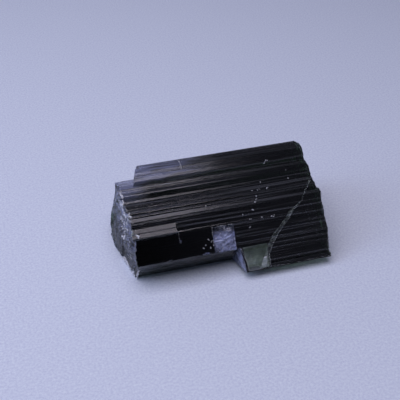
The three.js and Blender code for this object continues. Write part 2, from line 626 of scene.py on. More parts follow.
def crystal_material(look):
    """Dark green tourmaline: clear, strongly absorbing, rough and bruised where it is broken, with
    painted sheen on its grown faces and painted shade low on its breaks.
    """
    material, tree, shader = material_of("tourmaline")
    where = millimetres(tree)
    broken, crushed = attribute(tree, "broken"), attribute(tree, "crushed")
    across, away, up = add_node(tree, "ShaderNodeSeparateXYZ", _0=where).outputs

    lines = striae(tree, where, 0.012, 7.0, 3.0, 0.7)
    smoothest, roughest = look.face_roughness * 0.5, look.face_roughness * 1.6
    face_rough = ranged(tree, lines, 0.3, 0.7, smoothest, roughest)
    rough_gap = maths(tree, "SUBTRACT", look.fracture_roughness, face_rough)
    roughness = maths(tree, "ADD", face_rough, maths(tree, "MULTIPLY", rough_gap, broken))
    tree.links.new(roughness, shader.inputs["Roughness"])

    # Painted sheen on the grown faces, kept off the breaks.
    painted_sheen = painted_sheen_on_faces(tree, where, across, away)
    painted_sheen = maths(tree, "MULTIPLY", painted_sheen, maths(tree, "SUBTRACT", 1.0, broken))
    bruise_and_shade = bruise_and_shade_on_breaks(tree, where, across, up, broken, crushed)
    bruise_shade_and_sheen = maths(tree, "MAXIMUM", bruise_and_shade, painted_sheen)
    pale = ranged(tree, bruise_shade_and_sheen, 0.0, PALE_FROM, 0.0, 1.0)
    # The pale colour paints the sheen, the low shade and the paper's reflection into the surface.
    tree.links.new(mixed(tree, pale, CLEAR, look.crush_and_sheen_colour), shader.inputs["Base Color"])
    tree.links.new(maths(tree, "SUBTRACT", 1.0, bruise_shade_and_sheen), shader.inputs["Transmission Weight"])
    shader.inputs["IOR"].default_value = look.refraction

    fine = maths(tree, "MULTIPLY", striae(tree, where, 0.012, 4.5, 3.0, 0.6), STRIA_RELIEF)
    coarse = maths(tree, "MULTIPLY", noise_at(tree, where, 5.0, 4.0, 0.7), broken)
    coarse = maths(tree, "MULTIPLY", coarse, BREAK_RELIEF)
    height = maths(tree, "ADD", fine, coarse)
    bump = add_node(tree, "ShaderNodeBump", Strength=1.0, Distance=RELIEF, Height=height)
    tree.links.new(bump.outputs["Normal"], shader.inputs["Normal"])

    absorption = tree.nodes.new("ShaderNodeVolumeAbsorption")
    absorption.inputs["Color"].default_value = (*look.absorption_colour, 1.0)
    absorption.inputs["Density"].default_value = look.absorption_density
    out = tree.nodes["Material Output"]
    tree.links.new(absorption.outputs["Volume"], out.inputs["Volume"])
    return material


def flake_material(look):
    """Pale crushed crystal, for specks and crumbs."""
    material, tree, shader = material_of("crushed_tourmaline")
    share = ranged(tree, noise_at(tree, millimetres(tree), 3.0, 3.0, 0.6), 0.35, 0.65, 0.0, 1.0)
    dim = tuple(0.6 * c for c in look.speck_colour)
    tree.links.new(mixed(tree, share, dim, look.speck_colour), shader.inputs["Base Color"])
    shader.inputs["Roughness"].default_value = 0.35
    shader.inputs["IOR"].default_value = look.refraction
    return material


def veil_material(look):
    """A healed fracture: pale streaks along it, thin and broken."""
    material, tree, shader = material_of("healed_fracture")
    streaks = noise_at(tree, millimetres(tree), 2.2, 5.0, 0.7)
    haze = ranged(tree, streaks, 0.42, 0.72, 0.0, look.veil_haze)
    rim = ranged(tree, streaks, 0.3, 0.6, 0.45, 1.0)
    rim = maths(tree, "MULTIPLY", attribute(tree, "edge"), rim)
    tree.links.new(maths(tree, "MAXIMUM", haze, rim), shader.inputs["Alpha"])
    shader.inputs["Base Color"].default_value = (*look.veil_colour, 1.0)
    shader.inputs["Roughness"].default_value = 0.5
    return material


def crack_material(look):
    """A cleavage crack with a painted reflection: silvery where its walls part and dark where they
    close.
    """
    material, tree, shader = material_of("cleavage_crack")
    cloud = noise_at(tree, stretched(tree, millimetres(tree), (1.0, 0.8, 1.6)), 0.9, 4.0, 0.6)
    share = ranged(tree, cloud, 0.35, 0.65, 0.6, 1.0)
    share = maths(tree, "MULTIPLY", share, attribute(tree, "edge"))
    tree.links.new(mixed(tree, share, CRACK_PAINTED_DARK, look.painted_flash_colour), shader.inputs["Base Color"])
    shader.inputs["Roughness"].default_value = 0.45
    return material


def paper_material(stage):
    """Pale matt paper with a fine tooth."""
    material, tree, shader = material_of("stage_paper")
    tooth = noise_at(tree, millimetres(tree), 3.2, 3.0, 0.7)
    share = ranged(tree, tooth, 0.3, 0.7, 0.0, 1.0)
    low = tuple(c * 0.84 for c in stage.floor_colour)
    high = tuple(min(1.0, c * 1.10) for c in stage.floor_colour)
    tree.links.new(mixed(tree, share, low, high), shader.inputs["Base Color"])
    shader.inputs["Roughness"].default_value = 0.95
    shader.inputs["Specular IOR Level"].default_value = 0.1
    bump = add_node(tree, "ShaderNodeBump", Strength=0.25, Distance=0.0001, Height=tooth)
    tree.links.new(bump.outputs["Normal"], shader.inputs["Normal"])
    return material


# ---------------------------------------------------------------- the crystal's shape

END_SPANS = ((-10.5, 10.5), (-1.5, 13.0))  # y and z that a fracture's cutter covers
SPARE = 2.0  # how far the uncut prism runs past each end
CUT_START = -END - 3.0  # x of the left end of a cutter
FIRST_CHIP_SEED = 100

# The front of the right half: the edge between its two slopes and its sharp lower edge, as (y, z),
# then for each slope how far back it goes for a millimetre up, and its angle.
FRONT_EDGE = (-6.97, 4.1)
TOE_EDGE = (-9.0, 1.3)
FRONT_RUN, FRONT_SLOPE = 1 / 1.732, math.radians(60.0)
TOE_RUN, TOE_SLOPE = 0.725, math.radians(54.0)

# What is gone from the back shoulder left of the ledge, as (y, z).
LEDGE_END = -9.7  # x of the wall at the ledge's back edge; it leans left towards the front
SHOULDER = [
    (1.786, 10.5),
    (2.3, 10.6),
    (4.5, 9.9),
    (5.8, 8.9),
    (11.0, 5.0),
    (11.0, 12.8),
    (1.786, 12.8),
]

# What is gone from the lower front on the left, as (y, z).
SLIVER = [
    (-4.4, -1.0),
    (-4.4, 0.0),
    (-4.75, 0.55),
    (-5.35, 1.4),
    (-5.5, 1.6),
    (-5.95, 2.45),
    (-6.3, 2.95),
    (-6.97, 4.1),
    (-7.4, 4.3),
    (-11.0, 5.1),
    (-11.0, -1.0),
]

# The rib on the front shoulder: from x to x, and its outline as (y, z).
RIB_START, RIB_END = -END - 1.0, -6.9
RIB = [
    (-4.0, 8.1),
    (-4.35, 8.22),
    (-4.85, 7.93),
    (-4.88, 7.80),
    (-5.38, 7.52),
    (-5.41, 7.36),
    (-5.3, 7.05),
    (-4.8, 6.9),
]

# Fine growth lines on the front of the right half: height of each, and its width.
GROOVE_START = 0.95
GROOVES = (
    (6.95, 0.07),
    (6.55, 0.05),
    (5.6, 0.05),
    (4.75, 0.08),
    (4.3, 0.04),
    (3.55, 0.06),
    (2.6, 0.05),
    (1.9, 0.06),
)

# Chips off the edges: centre, size, turn about X in radians, and the finish they leave.
EDGE_CHIPS = (
    ((-13.5, 5.3, 9.6), (1.7, 2.3, 1.3), 0.3, BROKEN),
    ((-12.95, -2.7, 8.3), (0.55, 0.8, 0.7), 0.6, BROKEN),
    ((-12.7, -4.1, 7.6), (0.4, 0.5, 0.6), 0.1, BROKEN),
    ((-12.9, -5.2, 0.5), (0.5, 0.5, 0.5), 0.4, BROKEN),
    ((-12.3, -6.1, 1.5), (0.5, 0.35, 0.5), 0.9, BROKEN),
    ((-6.75, -5.75, 7.1), (0.45, 0.45, 0.5), 0.7, CRUSHED),
    ((-6.6, -5.95, 6.2), (0.25, 0.3, 0.4), 0.2, BROKEN),
    ((-9.9, 4.9, 11.3), (0.8, 0.6, 0.4), 0.0, BROKEN),
    ((1.3, -7.3, 4.2), (0.35, 0.4, 0.6), 0.5, CRUSHED),
    ((-8.3, -7.1, 4.15), (0.5, 0.3, 0.25), 0.3, BROKEN),
    ((-3.3, -7.05, 4.2), (0.7, 0.35, 0.3), 1.0, CRUSHED),
)


def stepped(draw, elevation, width, pitch):
    """One macro face as short growth faces: (elevation, width) in order."""
    if pitch <= 0:
        parts = max(1, round(width / PLAIN_PART))
        lean = TILT * 0.5
        return [(elevation + draw.uniform(-lean, lean), width / parts) for _ in range(parts)]
    low = math.floor(elevation / HABIT) * HABIT
    high = low + HABIT
    spread = math.sin(math.radians(HABIT))
    low_width = width * math.sin(math.radians(high - elevation)) / spread
    high_width = width * math.sin(math.radians(elevation - low)) / spread
    pairs = max(1, round(width / pitch))
    low_parts = [draw.uniform(0.3, 1.0) ** 2 for _ in range(pairs)]
    high_parts = [draw.uniform(0.3, 1.0) ** 2 for _ in range(pairs)]
    faces = []
    for p, q in zip(low_parts, high_parts):
        faces.append((low + draw.uniform(-TILT, TILT), low_width * p / sum(low_parts)))
        faces.append((high + draw.uniform(-TILT, TILT), high_width * q / sum(high_parts)))
    return faces


def section_outline(seed):
    """The fine outline of the prism as (y, z), closed by its flat base."""
    draw = random.Random(seed)
    y, z = SECTION_START
    outline = [(y, z)]
    ideal = [(y, z)]
    for elevation, width, pitch in SECTION_FACES:
        y0, z0 = ideal[-1]
        e = math.radians(elevation)
        y1, z1 = y0 + width * math.sin(e), z0 + width * math.cos(e)
        ideal.append((y1, z1))
        run = [(y0, z0)]
        for part, length in stepped(draw, elevation, width, pitch):
            a = math.radians(part)
            run.append((run[-1][0] + length * math.sin(a), run[-1][1] + length * math.cos(a)))
        miss_y, miss_z = y1 - run[-1][0], z1 - run[-1][1]
        for i, (py, pz) in enumerate(run[1:], 1):
            t = i / (len(run) - 1)
            outline.append((py + miss_y * t, pz + miss_z * t))
    return outline


def left_inset(y, z):
    """How far the left end falls short of the full length."""
    lean = 1.2 * smooth(z, 0.0, 7.5)
    turn = 0.195 * np.maximum(0.0, 2.4 - y) * (1 - 0.055 * z)
    back = 0.2 * np.maximum(0.0, y - 6.0)
    brow = 0.4 * hump(y, z, 0.5, 10.5, 1.8) + 0.35 * hump(y, z, 3.4, 8.8, 1.6)
    return (lean**6 + np.maximum(turn, 0.0) ** 6) ** (1 / 6) + back - brow


def right_inset(y, z):
    """How far the right end falls short of the full length."""
    return 0.3 * smooth(z, 7.5, 10.5) + 0.6 * hump(y, z, 2.5, 4.8, 3.0)


def end_block(name, side, relief, step, materials):
    """What a fracture took away past one end; side is -1 at the left and 1 at the right."""
    axes = ((0, 1, 0), (0, 0, 1), (side, 0, 0))
    far = END + 4.0
    return relief_block(name, axes, (0, 0, 0), END_SPANS, step, relief, far, BROKEN, materials)


def left_break(materials, step):
    """The left fracture: rough, with shards that lean steeply."""
    coarse = shards(11, END_SPANS, 1.6, 0.16, 0.08)
    fine = shards(12, END_SPANS, 0.55, 0.30, 0.05)

    def relief(y, z):
        rough = coarse(y, z) + fine(y, z) + 0.03 * grain(y, z, 2.2, 3.0)
        return END - left_inset(y, z) + np.minimum(rough, 0.15)

    return end_block("left_break", -1, relief, step, materials)


def right_break(materials, step):
    """The right fracture: smoother, with low waves across it."""
    coarse = shards(21, END_SPANS, 2.6, 0.07, 0.05)
    fine = shards(22, END_SPANS, 0.8, 0.12, 0.03)

    def relief(y, z):
        waves = 0.06 * (1 + np.sin(1.4 * y - 1.1 * z) * np.cos(0.9 * z + 0.6 * y))
        rough = coarse(y, z) + fine(y, z) + 0.02 * grain(y, z, 2.0, 5.0)
        return END - right_inset(y, z) - waves + np.minimum(rough, 0.12)

    return end_block("right_break", 1, relief, step, materials)


def spall(materials, step):
    """The flake knocked off the front, down to an uneven crushed floor."""
    spans = ((-2.15, 0.85), (-0.3, 3.4))
    lumps = shards(31, spans, 0.6, 0.45, 0.10)

    def relief(u, v):
        bowl = 0.30 + 0.08 * smooth(v, 2.2, 3.2)
        high_spots = 0.20 * hump(u, v, 0.4, 1.9, 0.55) + 0.14 * hump(u, v, -1.0, 1.75, 0.6)
        return np.minimum(-bowl + high_spots + lumps(u, v), -0.06)

    axes = ((1, 0, 0), (0, 0.5, 0.866), (0, -0.866, 0.5))
    foot = (0, *FRONT_EDGE)
    return relief_block("spall", axes, foot, spans, step, relief, 0.8, CRUSHED, materials)


def front_at(height):
    """Where the right half's front face stands at a height, and how steep it is there."""
    if height > FRONT_EDGE[1]:
        return FRONT_EDGE[0] + (height - FRONT_EDGE[1]) * FRONT_RUN, FRONT_SLOPE
    return TOE_EDGE[0] + (height - TOE_EDGE[1]) * TOE_RUN, TOE_SLOPE


def groove(height, width, materials):
    """A shallow notch along the front of the right half, whose lower wall catches the light."""
    y, slope = front_at(height)
    cos, sin = math.cos(slope), math.sin(slope)

    def corner(up, out):
        return (y + cos * up - sin * out, height + sin * up + cos * out)

    depth, half, clear = 0.6 * width, 0.7 * width, 0.02
    outline = [corner(0, -depth), corner(-half, clear), corner(0, 0.3), corner(half, clear)]
    return prism("groove", outline, GROOVE_START, END + 2, GROWN, materials, GROWN)


def ledge_wall(y, z):
    """Where the top ledge stops at the left."""
    return LEDGE_END + 0.33 * (y - 6.1)


def notch_wall(y, z):
    """Where the missing sliver stops, leaning right towards the front."""
    return 1.2 + 0.75 * float(smooth(-y, 6.6, 8.2))


def mark_finishes(crystal, slots):
    """Turns each face's placeholder material into the values that the real one reads."""
    index = np.zeros(len(crystal.data.polygons), np.int32)
    crystal.data.polygons.foreach_get("material_index", index)
    kinds = [slots.index(m) if m in slots else GROWN for m in crystal.data.materials]
    finishes = np.array(kinds)[index]
    for name, value in (("broken", BROKEN), ("crushed", CRUSHED)):
        layer = crystal.data.attributes.new(name, "FLOAT", "FACE")
        layer.data.foreach_set("value", (finishes == value).astype(np.float32))
    crystal.data.materials.clear()
    crystal.data.polygons.foreach_set("material_index", np.zeros_like(index))


def grow_crystal(sizes, look):
    """The crystal as one closed solid."""
    material = crystal_material(look)
    slots = [bpy.data.materials.new(f"finish_{value}") for value in (GROWN, BROKEN, CRUSHED)]
    outline = section_outline(sizes.seed)
    mesh = bpy.data.meshes.new("crystal")
    mesh.from_pydata(
        [(y * UNIT, z * UNIT, 0.0) for y, z in outline],
        [(i, (i + 1) % len(outline)) for i in range(len(outline))],
        [],
    )
    crystal = linked("crystal", mesh)
    values = {
        "Length": (DESIGN_LENGTH + 2 * SPARE) * UNIT,
        "Left End": -(END + SPARE) * UNIT,
        "Material": slots[GROWN],
    }
    grown(crystal, prism_tree(), values)
    crystal.data.transform(Matrix.Translation(MIDDLE))

    combine(crystal, prism("rib", RIB, RIB_START, RIB_END, GROWN, slots), "UNION")
    sliver = prism("sliver", SLIVER, CUT_START, notch_wall, GROWN, slots, CRUSHED)
    shoulder = prism("shoulder", SHOULDER, CUT_START, ledge_wall, GROWN, slots)
    combine(crystal, sliver, "DIFFERENCE")
    combine(crystal, shoulder, "DIFFERENCE")
    for height, width in GROOVES:
        combine(crystal, groove(height, width, slots), "DIFFERENCE")
    for taken in (spall, left_break, right_break):
        combine(crystal, taken(slots, sizes.fracture_grain / UNIT), "DIFFERENCE")
    for number, (centre, size, turn, finish) in enumerate(EDGE_CHIPS):
        chip = shard("chip", centre, size, turn, FIRST_CHIP_SEED + number, finish, slots)
        combine(crystal, chip, "DIFFERENCE")

    mark_finishes(crystal, slots)
    crystal.data.materials.append(material)
    crystal.data.shade_flat()
    for marker in slots:
        bpy.data.materials.remove(marker)
    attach(crystal, BODY)
    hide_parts(NODE)
    return crystal


# ---------------------------------------------------------------- flaws

# The healed fracture's line over the surface, from the right end down to the toe, as (x, y).
VEIL_TRACE = (
    (13.3, -1.5),
    (11.0, -4.24),
    (9.5, -5.02),
    (8.8, -5.54),
    (7.0, -6.42),
    (6.0, -7.15),
    (5.3, -7.8),
    (5.2, -8.9),
)
# Its rows from the surface down: how far down each is, and how well it shows there.
VEIL_ROWS = ((0.0, 0.4), (0.12, 0.1), (0.5, 0.05), (0.88, 0.1), (1.0, 0.45))

VEIL_SPACING = 0.25
VEIL_THICKNESS, CRACK_THICKNESS = 0.015, 0.012

# Crushed specks on the surface, as (x, y).
SPECKS = (
    (5.8, -1.56), (5.4, -1.7), (6.7, -1.72), (6.9, -1.5), (4.6, -1.6), (6.4, -0.4), (10.3, -0.42),
    (5.0, -2.7), (4.8, -3.1), (4.5, -3.5), (3.9, -4.3), (2.4, -4.6), (6.7, -5.2), (6.3, -5.25),
    (3.1, -5.65), (3.3, -5.2), (-6.7, -2.5), (-2.3, -2.8), (7.8, 2.1), (7.6, 2.0), (8.0, 2.2),
    (10.3, 0.3), (4.9, -5.2), (-3.2, -6.3), (-2.8, -6.0), (-2.6, -6.6), (-3.6, -6.6), (-2.5, -6.2),
)

# Each crack: its lower and its upper pair of corners as (x, height, depth below the face), and how
# much painted reflection it carries along its lower and its upper edge.
CRACKS = (
    (
        "clear_corner_crack",
        ((2.1, 1.42, 0.08), (5.0, 1.5, 0.12)),
        ((1.75, 4.0, 0.4), (5.3, 4.0, 0.6)),
        (1.0, 0.34),
    ),
    (
        "corner_flash",
        ((3.7, 1.6, -0.06), (4.7, 1.65, -0.05)),
        ((4.4, 2.6, -0.04), (5.0, 2.75, 0.0)),
        (1.0, 1.0),
    ),
    (
        "toe_flash",
        ((2.1, 1.38, -0.04), (3.8, 1.40, -0.04)),
        ((2.1, 1.8, 0.0), (3.5, 1.75, 0.0)),
        (0.55, 0.3),
    ),
)
CRACK_ROWS, CRACK_COLUMNS = 7, 9
PROUD = 0.01  # the most that a crack stands out of the face

# Lines of crumbs on the surface: crumb size, spacing, then the line of (x, y) points.
CRUMB_LINES = (
    (0.05, 0.22, ((-12.75, 2.3), (-13.0, 0.6), (-12.8, -1.0), (-12.55, -2.4), (-12.2, -4.6))),
    (0.13, 0.13, ((-13.0, 1.3), (-12.95, -0.3))),
    (0.12, 0.10, ((-12.65, -2.0), (-12.6, -2.5))),
    (0.12, 0.08, ((-12.2, -4.9), (-12.1, -5.3))),
    (0.02, 0.09, VEIL_TRACE),
    (0.045, 0.09, ((-3.97, 5.6), (-3.98, 4.6), (-4.0, 3.0))),
    (0.03, 0.06, ((-2.15, -5.25), (0.75, -5.25))),
    (0.03, 0.07, ((-2.15, -5.25), (-2.15, -6.2), (-2.35, -6.6))),
    (0.04, 0.08, ((0.8, -5.9), (0.82, -6.9))),
    (0.035, 0.08, ((1.45, -7.1), (2.0, -8.1), (2.05, -8.9))),
    # Along the toe's lower edge the pale crumbs are a painted highlight of its bright rim.
    (0.03, 0.16, ((2.1, -8.93), (13.9, -8.93))),
    (0.03, 0.12, ((-6.85, -4.6), (-6.7, -5.2), (-6.75, -5.9))),
)

# Lines of crumbs over the left fracture: crumb size, spacing, then the line of (y, z) points.
END_CRUMB_LINES = (
    (0.17, 0.12, ((-0.6, 0.35), (-2.4, 0.3), (-3.6, 0.25), (-4.5, 0.3))),
    (0.09, 0.15, ((-0.9, 0.75), (-2.2, 0.6), (-3.9, 0.6), (-4.4, 0.9))),
    (0.06, 0.16, ((-4.5, 0.2), (-5.2, 1.3), (-6.4, 3.3))),
    (0.11, 0.30, ((2.6, 8.8), (-0.2, 9.2), (1.9, 8.1), (-0.9, 8.0), (1.2, 7.2), (-1.4, 7.1))),
    (0.06, 0.22, ((4.2, 7.0), (1.2, 8.4), (3.4, 6.2), (0.2, 7.6), (2.6, 5.2), (-0.8, 6.6))),
    (0.09, 0.34, ((1.4, 5.8), (-1.6, 6.2), (0.9, 4.9), (-2.2, 5.2), (0.2, 3.9), (-2.0, 4.2))),
    (0.05, 0.40, ((-2.4, 6.4), (-3.6, 4.9), (-2.2, 3.6), (-4.2, 3.2), (-2.6, 2.2))),
)
CRUMB_SPREAD = 0.6  # how far a crumb's size strays from its line's size, as a share of it
CRUMB_GAPS = 0.35  # share of the crumbs that are missing from a line
FIRST_CRUMB_SEED = 300
SPECK_SPREAD = 0.4
SPECK_SEED, FLAKE_SEED = 41, 5
ABOVE = 30.0  # height that a point is dropped from, over the whole crystal


def surface_finder():
    """A function that drops a point (x, y) onto the crystal: a list of the place, or of nothing."""
    mesh = bpy.data.objects["crystal"].data
    mesh.calc_loop_triangles()
    tree = BVHTree.FromPolygons(
        [v.co.copy() for v in mesh.vertices],
        [tuple(t.vertices) for t in mesh.loop_triangles],
        all_triangles=True,
    )

    def find(x, y):
        point, _, _, _ = tree.ray_cast(place(x, y, ABOVE), Vector((0, 0, -1)))
        return [] if point is None else [point]

    return find


def finished(piece):
    """The piece rides on the crystal's body."""
    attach(piece, BODY)
    return piece


def along(line, spacing):
    """Points spaced evenly along a line of (x, y) points."""
    points = []
    for (x0, y0), (x1, y1) in zip(line, line[1:]):
        count = max(1, round(math.hypot(x1 - x0, y1 - y0) / spacing))
        points += [(x0 + (x1 - x0) * i / count, y0 + (y1 - y0) * i / count) for i in range(count)]
    return points + [line[-1]]


def line_through(name, points):
    """A mesh of edges from point to point."""
    mesh = bpy.data.meshes.new(name)
    mesh.from_pydata(points, [(i, i + 1) for i in range(len(points) - 1)], [])
    return linked(name, mesh)


def sheet(name, rows, edge_values, thickness, material):
    """A thin closed plate through rows of points, with an edge value for each row."""
    columns = len(rows[0])
    points = [p for row in rows for p in row]
    faces = []
    for i in range(len(rows) - 1):
        for j in range(columns - 1):
            a = i * columns + j
            faces.append((a, a + 1, a + columns + 1, a + columns))
    mesh = bpy.data.meshes.new(name)
    mesh.from_pydata(points, [], faces)
    mesh.materials.append(material)
    layer = mesh.attributes.new("edge", "FLOAT", "POINT")
    values = [value for value, row in zip(edge_values, rows) for _ in row]
    layer.data.foreach_set("value", values)
    made = linked(name, mesh)
    wall = made.modifiers.new("wall", "SOLIDIFY")
    wall.thickness = thickness
    wall.offset = 0.0
    return settled(made)


def grow_veil(look):
    """The healed fracture, from its line on the surface down into the crystal."""
    find = surface_finder()
    line = along(VEIL_TRACE, VEIL_SPACING)
    inward = Vector((0.0, 0.707, -0.707))
    rows = []
    for t, _ in VEIL_ROWS:
        row = []
        for i, (x, y) in enumerate(line):
            (spot,) = find(x, y)
            down = i / (len(line) - 1)
            lean = 0.55 * float(smooth(down, 0.25, 0.6)) + 0.15
            wave = 0.06 * math.sin(2.1 * x) + 0.05 * math.sin(5.3 * x + 1)
            depth = 0.03 + 0.10 * t
            row.append(spot + (inward * depth - Vector(((lean + wave) * t, 0.0, 0.0))) * UNIT)
        rows.append(row)
    shows = [value for _, value in VEIL_ROWS]
    veil = sheet("healed_fracture", rows, shows, VEIL_THICKNESS * UNIT, veil_material(look))
    return finished(veil)


def toe_point(x, height, depth):
    """A point under the toe's front face, by its height on the face and its depth below it."""
    y = TOE_EDGE[0] + (height - TOE_EDGE[1]) * TOE_RUN
    return place(x, y + 0.81 * depth, height - 0.59 * depth)


def crack_rows(lower, upper):
    """Rows of points from a crack's lower pair of corners to its upper pair."""
    (a, b), (c, d) = ([Vector(corner) for corner in pair] for pair in (lower, upper))
    rows = []
    for i in range(CRACK_ROWS):
        row = []
        for j in range(CRACK_COLUMNS):
            s = j / (CRACK_COLUMNS - 1)
            x, height, depth = a.lerp(b, s).lerp(c.lerp(d, s), i / (CRACK_ROWS - 1))
            swell = 0.05 * math.sin(4.1 * x + 2.3 * height)
            swell += 0.03 * math.sin(9.1 * x - 5.0 * height)
            row.append(toe_point(x, height, max(-PROUD, depth + swell)))
        rows.append(row)
    return rows


def grow_cracks(look):
    """The cleavage cracks, sheets whose painted reflection lights up the clear corner beside the
    notch.
    """
    material = crack_material(look)
    for name, lower, upper, lights in CRACKS:
        shows = np.linspace(*lights, CRACK_ROWS).tolist()
        finished(sheet(name, crack_rows(lower, upper), shows, CRACK_THICKNESS * UNIT, material))


def strayed_on_top(draw, find, size, x, y):
    """A place on the crystal near (x, y), as a list."""
    return find(x + size * draw.uniform(-1.2, 1.2), y + draw.uniform(-0.02, 0.02))


def strayed_on_end(draw, y, z):
    """A place on the left fracture near (y, z), as a list."""
    y += draw.uniform(-0.4, 0.4)
    z = max(0.12, z + draw.uniform(-0.3, 0.3))
    return [place(float(left_inset(y, z)) - END, y, z)]


def grow_crumbs(look):
    """Crumbs along the bruised edges and over the left fracture; along the toe's lower edge they
    are a painted highlight.
    """
    find = surface_finder()
    material = flake_material(look)
    tree = trail_tree()
    for number, (size, spacing, line) in enumerate(CRUMB_LINES + END_CRUMB_LINES):
        draw = random.Random(FIRST_CRUMB_SEED + number)
        run = []
        for a, b in along(line, 0.1):
            if number < len(CRUMB_LINES):
                run += strayed_on_top(draw, find, size, a, b)
            else:
                run += strayed_on_end(draw, a, b)
        values = {
            "Size": size * UNIT,
            "Spread": CRUMB_SPREAD,
            "Spacing": spacing * UNIT,
            "Gaps": CRUMB_GAPS,
            "Seed": number,
            "Material": material,
        }
        finished(grown(line_through(f"edge_crumbs_{number}", run), tree, values))


def grow_specks(sizes, look):
    """Crushed specks, two flakes at each place."""
    find = surface_finder()
    draw = random.Random(SPECK_SEED)
    points = []
    for x, y in SPECKS:
        for _ in range(2):
            points += find(x + draw.uniform(-0.12, 0.12), y + draw.uniform(-0.08, 0.08))
    mesh = bpy.data.meshes.new("specks")
    mesh.from_pydata(points, [], [])
    values = {
        "Size": sizes.speck_size,
        "Spread": SPECK_SPREAD,
        "Seed": FLAKE_SEED,
        "Material": flake_material(look),
    }
    finished(grown(linked("specks", mesh), flake_tree(), values))


# ---------------------------------------------------------------- settings


def colour_setting(name, description, default):
    """A colour for the panel."""
    return FloatVectorProperty(
        name=name, description=description, subtype="COLOR", size=3, min=0, max=1, default=default
    )


def share_setting(name, description, default):
    """A number from 0 to 1 for the panel."""
    return FloatProperty(
        name=name, description=description, subtype="FACTOR", min=0, max=1, default=default
    )


class CrystalSizes(bpy.types.PropertyGroup):
    """Sizes of the crystal's finer shape."""

    fracture_grain: FloatProperty(
        name="Fracture Grain",
        description="Size of the smallest facets on a broken face",
        default=0.17 * UNIT,
        min=0.08 * UNIT,
        unit="LENGTH",
    )
    speck_size: FloatProperty(
        name="Speck Size",
        description="Radius of a crushed speck on the surface",
        default=0.06 * UNIT,
        min=0.01 * UNIT,
        unit="LENGTH",
    )
    seed: IntProperty(name="Seed", description="Which growth lines are drawn", default=7)


class CrystalLook(bpy.types.PropertyGroup):
    """Colours and finishes of the crystal and its flaws."""

    absorption_colour: colour_setting(
        "Body Colour", "Colour that light keeps on its way through", (0.2, 0.455, 0.13)
    )
    absorption_density: FloatProperty(
        name="Body Density",
        description="How fast the crystal takes light, per metre",
        default=1000.0,
        min=0,
    )
    refraction: FloatProperty(
        name="Refraction", description="Refractive index", default=1.63, min=1
    )
    face_roughness: share_setting("Face Roughness", "Roughness of the grown faces", 0.07)
    fracture_roughness: share_setting("Fracture Roughness", "Roughness of the breaks", 0.38)
    # Crushed crystal's colour, also used for the painted sheen; its lavender blue is a painted
    # reflection of the paper.
    crush_and_sheen_colour: colour_setting(
        "Crushed Colour", "Colour of crushed crystal", (0.56, 0.62, 0.93)
    )
    speck_colour: colour_setting(
        "Speck Colour", "Colour of loose crumbs of crystal", (0.9, 0.92, 0.97)
    )
    veil_colour: colour_setting(
        "Veil Colour", "Colour of the healed fracture", (0.8, 0.84, 0.84)
    )
    veil_haze: share_setting("Veil Haze", "Cover of the veil's haze", 0.5)
    # The pale colour of the cracks is a painted reflection.
    painted_flash_colour: colour_setting(
        "Crack Colour", "Colour of the cleavage cracks", (0.92, 0.95, 0.97)
    )


class StageSettings(bpy.types.PropertyGroup):
    """The floor, the lights and the camera."""

    floor_colour: colour_setting("Paper Colour", "Colour of the paper floor", (0.78, 0.84, 1.0))
    overhead_radiance: FloatProperty(
        name="Overhead Radiance",
        description="Brightness of the panels overhead",
        default=2.75,
        min=0,
    )
    window_radiance: FloatProperty(
        name="Window Radiance",
        description="Brightness of the panel at the left",
        default=2.1,
        min=0,
    )
    camera_azimuth: FloatProperty(
        name="Camera Azimuth",
        description="Where the camera stands about the crystal, from the front",
        default=math.radians(-16.0),
        subtype="ANGLE",
    )
    camera_elevation: FloatProperty(
        name="Camera Elevation",
        description="How high the camera stands",
        default=math.radians(37.0),
        subtype="ANGLE",
    )
    camera_distance: FloatProperty(
        name="Camera Distance",
        description="From the camera to the point it looks at",
        default=0.123,
        unit="LENGTH",
    )


# ---------------------------------------------------------------- stage

# The stage is measured in metres, apart from the point that the camera looks at.
FLOOR_REACH = 1.5  # from the middle to each side of the floor

# Panels overhead, which overlap so that their light fades to the right: right edge, and share.
OVERHEAD_PANELS = ((0.038, 0.62), (0.048, 0.30), (0.058, 0.08))
OVERHEAD_LEFT = -0.145
OVERHEAD_Y = -0.02
OVERHEAD_DEPTH = 0.19
OVERHEAD_HEIGHT = 0.2
OVERHEAD_COLOUR = (1.0, 0.94, 1.10)

WINDOW_PLACE = (-0.30, -0.01, 0.20)
WINDOW_SIZE = (0.2, 0.2)
WINDOW_COLOUR = (0.78, 0.91, 1.30)
SURROUNDINGS_COLOUR = (0.92, 0.96, 1.35)

LOOK_AT = (0.6, 10.05, 0.0)  # in design millimetres: on the floor, just behind the crystal
LENS, SENSOR = 72.0, 36.0  # millimetres
NEAREST, FARTHEST = 0.002, 20.0  # what the camera can see, by distance


def add_floor(stage):
    """A wide plain sheet of paper under the crystal."""
    r = FLOOR_REACH
    corners = [(-r, -r, LOW.z), (r, -r, LOW.z), (r, r, LOW.z), (-r, r, LOW.z)]
    mesh = bpy.data.meshes.new("floor")
    mesh.from_pydata(corners, [], [(0, 1, 2, 3)])
    mesh.materials.append(paper_material(stage))
    linked("floor", mesh)


def add_light(name, location, aim, size, radiance, colour):
    """A soft panel that faces its aim."""
    data = bpy.data.lights.new(name, "AREA")
    data.shape = "RECTANGLE"
    data.size, data.size_y = size
    data.energy = radiance * math.pi * size[0] * size[1]
    data.color = colour
    light = linked(name, data)
    light.location = location
    toward = Vector(aim) - Vector(location)
    light.rotation_euler = toward.to_track_quat("-Z", "Y").to_euler()
    light.visible_camera = False


